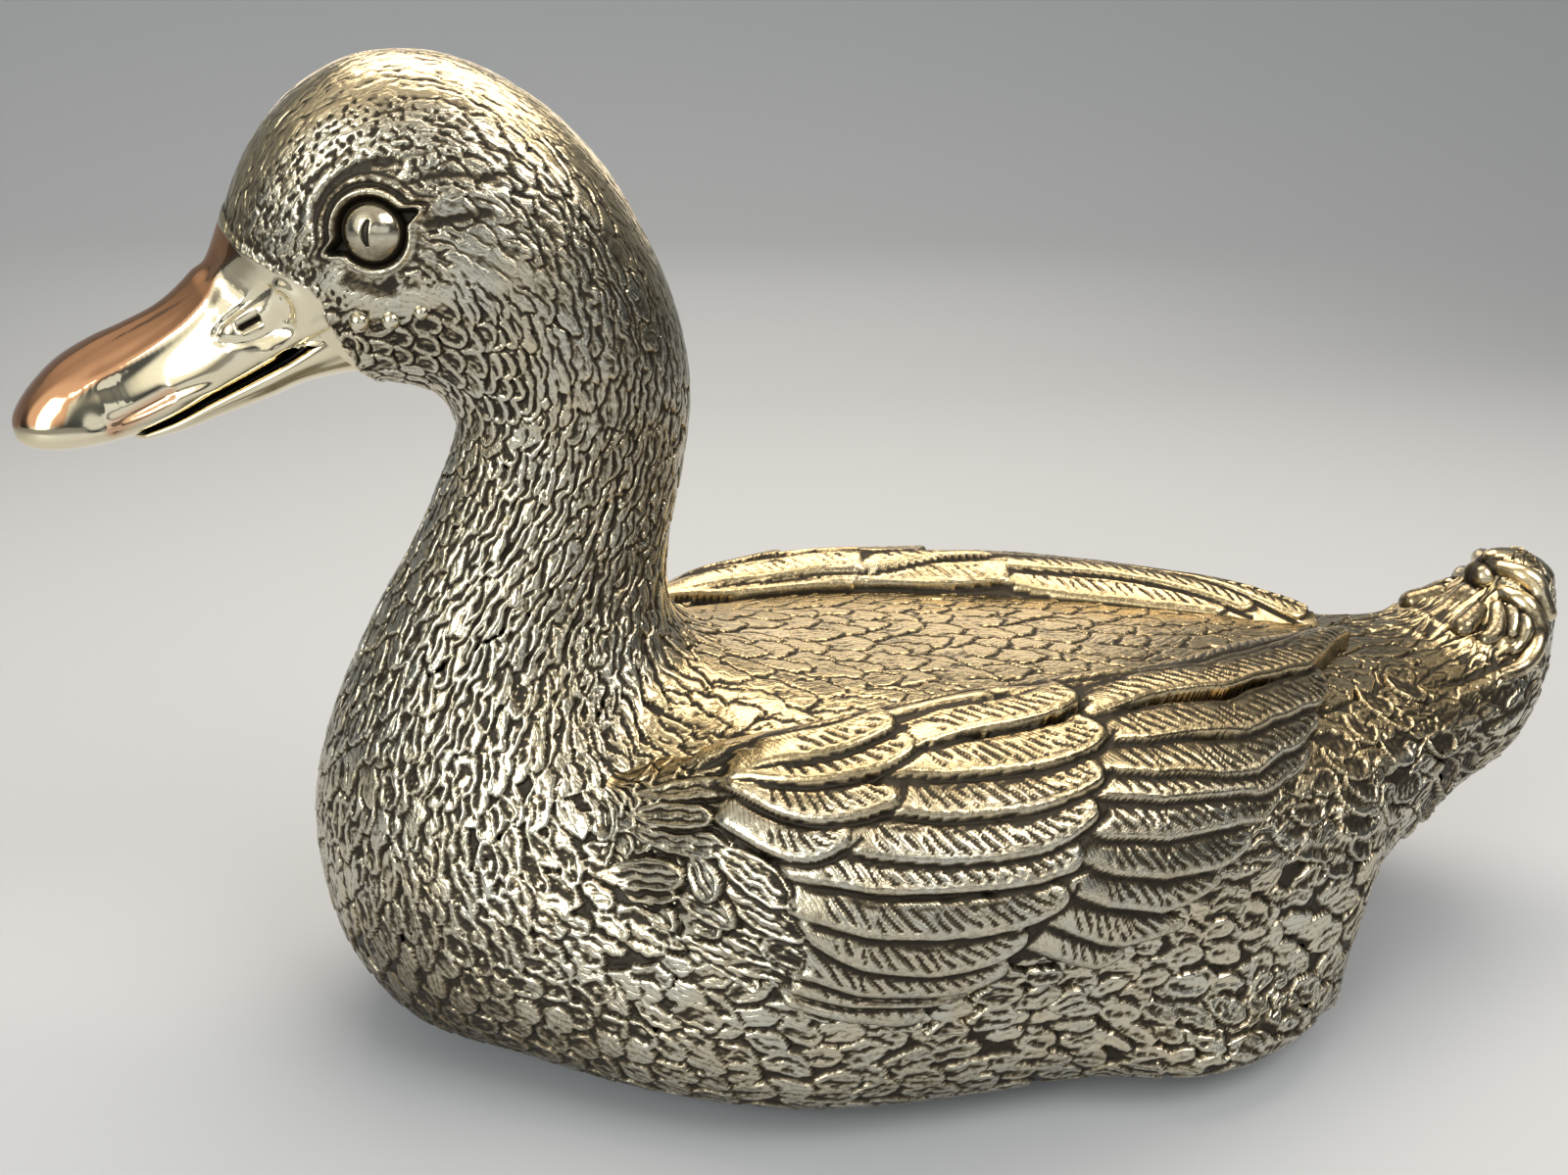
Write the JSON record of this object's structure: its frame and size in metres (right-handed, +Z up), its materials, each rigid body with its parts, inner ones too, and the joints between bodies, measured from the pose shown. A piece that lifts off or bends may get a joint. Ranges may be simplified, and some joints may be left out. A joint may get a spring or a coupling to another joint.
{
  "type": "duck sculpture",
  "caption": "Free-standing sculpture of a seated duck, hollow cast in sections with feather relief, an oxidised silver finish and a polished bill.",
  "frame": {"origin": "on the table, midway between the bill's tip and the tail's tip, on the bird's middle plane", "axes": "+Z up, +X from the bill towards the tail, +Y to the bird's right"},
  "size_m": [0.3256, 0.1514, 0.1916],
  "materials": {
    "oxidised_silver": "cast and chased silver, oxidised dark in the recesses and rubbed bright on the high edges",
    "polished_silver": "mirror-polished silver with a warm tone",
    "brass": "plain brass, unpolished",
    "steel": "plain steel",
    "ballast": "rough casting",
    "felt": "black felt"
  },
  "bodies": {
    "root": {"ballast_core": "ballast", "base_plate": "brass", "base_screw_1": "steel", "base_screw_2": "steel", "base_screw_3": "steel", "base_screw_4": "steel", "bill_plug": "brass", "body_shell": "oxidised_silver", "felt_pad": "felt", "head_joint_sleeve": "brass", "head_shell": "oxidised_silver", "left_eye": "polished_silver", "left_wing": "oxidised_silver", "left_wing_pin_1": "steel", "left_wing_pin_2": "steel", "left_wing_pin_3": "steel", "lower_bill": "polished_silver", "neck_joint_sleeve": "brass", "neck_shell": "oxidised_silver", "right_eye": "polished_silver", "right_wing": "oxidised_silver", "right_wing_pin_1": "steel", "right_wing_pin_2": "steel", "right_wing_pin_3": "steel", "tail_curl": "oxidised_silver", "tail_joint_sleeve": "brass", "tail_shell": "oxidised_silver", "upper_bill": "polished_silver"}
  },
  "joints": []
}
